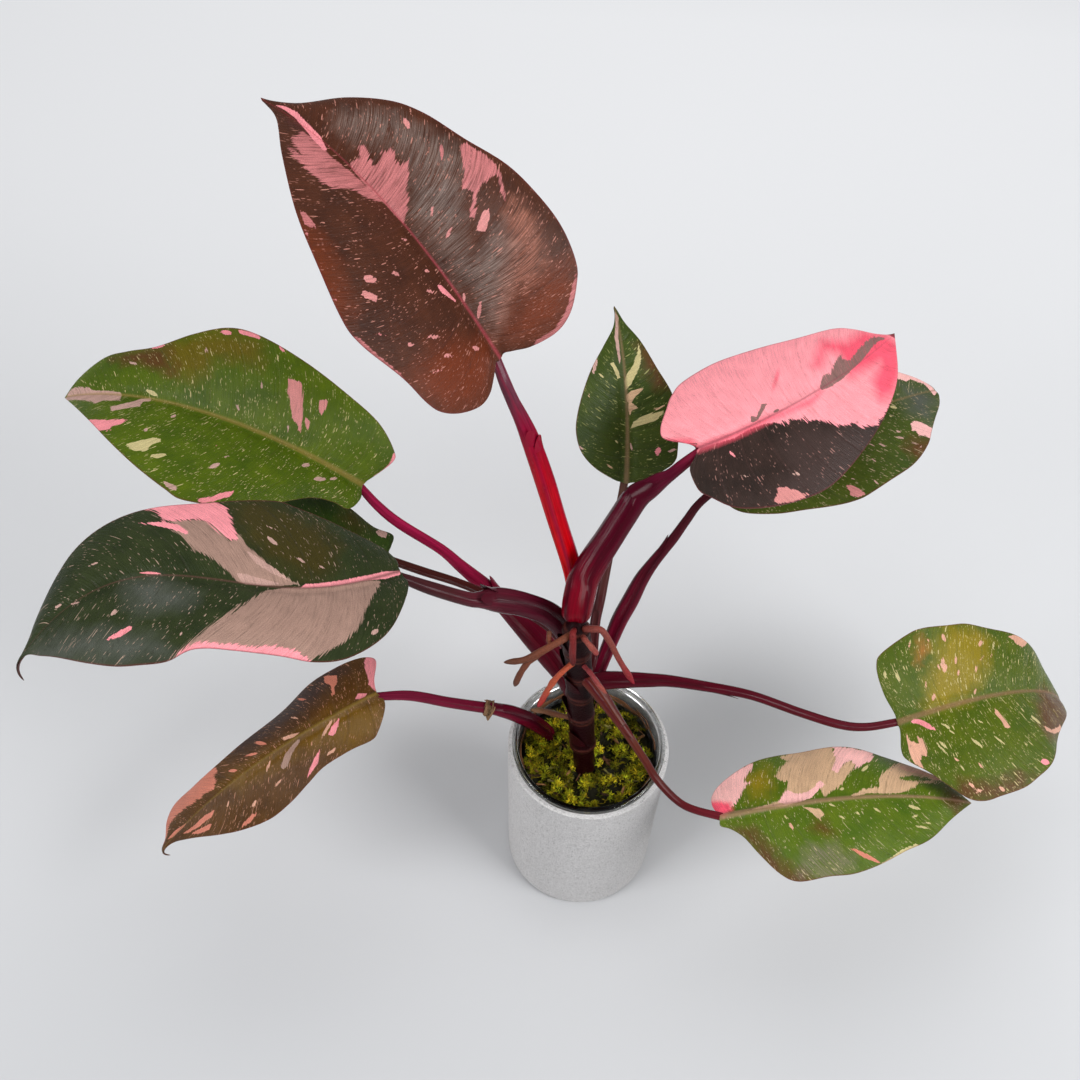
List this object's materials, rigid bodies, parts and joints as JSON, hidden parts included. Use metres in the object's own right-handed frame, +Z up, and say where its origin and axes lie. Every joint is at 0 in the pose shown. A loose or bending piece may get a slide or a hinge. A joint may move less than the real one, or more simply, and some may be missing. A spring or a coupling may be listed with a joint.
{
  "type": "variegated climbing houseplant in a pot",
  "caption": "Pink, cream and green variegated climbing aroid with heart-shaped leaves on long red stalks, in a clear pot inside a pale cylindrical cover pot.",
  "frame": {"origin": "middle of the cover pot's flat underside", "axes": "+Z up, +X to the right seen from the plant's front, +Y towards its back"},
  "size_m": [0.6134, 0.2647, 0.4554],
  "materials": {
    "concrete": "pale grey fibre concrete with fine dark and light specks, matt",
    "clear": "thin clear plastic, glossy",
    "mix": "dark bark and coir potting mix, rough",
    "moss": "yellow-green moss, soft and rough",
    "cane": "near-black maroon green wood, satin",
    "root": "orange-brown root skin, satin",
    "maroon": "dark maroon stalk, glossy in places",
    "red": "scarlet stalk with a white light line, glossy",
    "crimson": "crimson stalk with dark edges, satin",
    "brown_leaf": "red-brown waxy leaf with pink patches",
    "green_leaf": "green waxy leaf with cream and pink flecks",
    "dark_leaf": "green-black waxy leaf with taupe and pink patches",
    "pink_leaf": "half pink, half dark waxy leaf",
    "olive_leaf": "brown-olive waxy leaf with pink streaks",
    "husk": "tan dried fibre, rough"
  },
  "bodies": {
    "root": {"cover_pot": "concrete", "nursery_pot": "clear", "potting_mix": "mix", "moss": "moss", "cane": "cane", "petiole_01": "red", "petiole_02": "crimson", "petiole_03": "maroon", "petiole_04": "maroon", "petiole_05": "crimson", "petiole_06": "maroon", "petiole_07": "maroon", "petiole_08": "maroon", "petiole_09": "maroon", "petiole_10": "maroon", "blade_01": "brown_leaf", "blade_02": "green_leaf", "blade_03": "dark_leaf", "blade_04": "green_leaf", "blade_05": "olive_leaf", "blade_06": "green_leaf", "blade_07": "pink_leaf", "blade_08": "green_leaf", "blade_09": "green_leaf", "blade_10": "green_leaf", "aerial_root_1": "root", "aerial_root_2": "root", "aerial_root_3": "root", "aerial_root_4": "root", "aerial_root_5": "root", "aerial_root_6": "root", "aerial_root_7": "root", "dried_husk": "husk"}
  },
  "joints": []
}
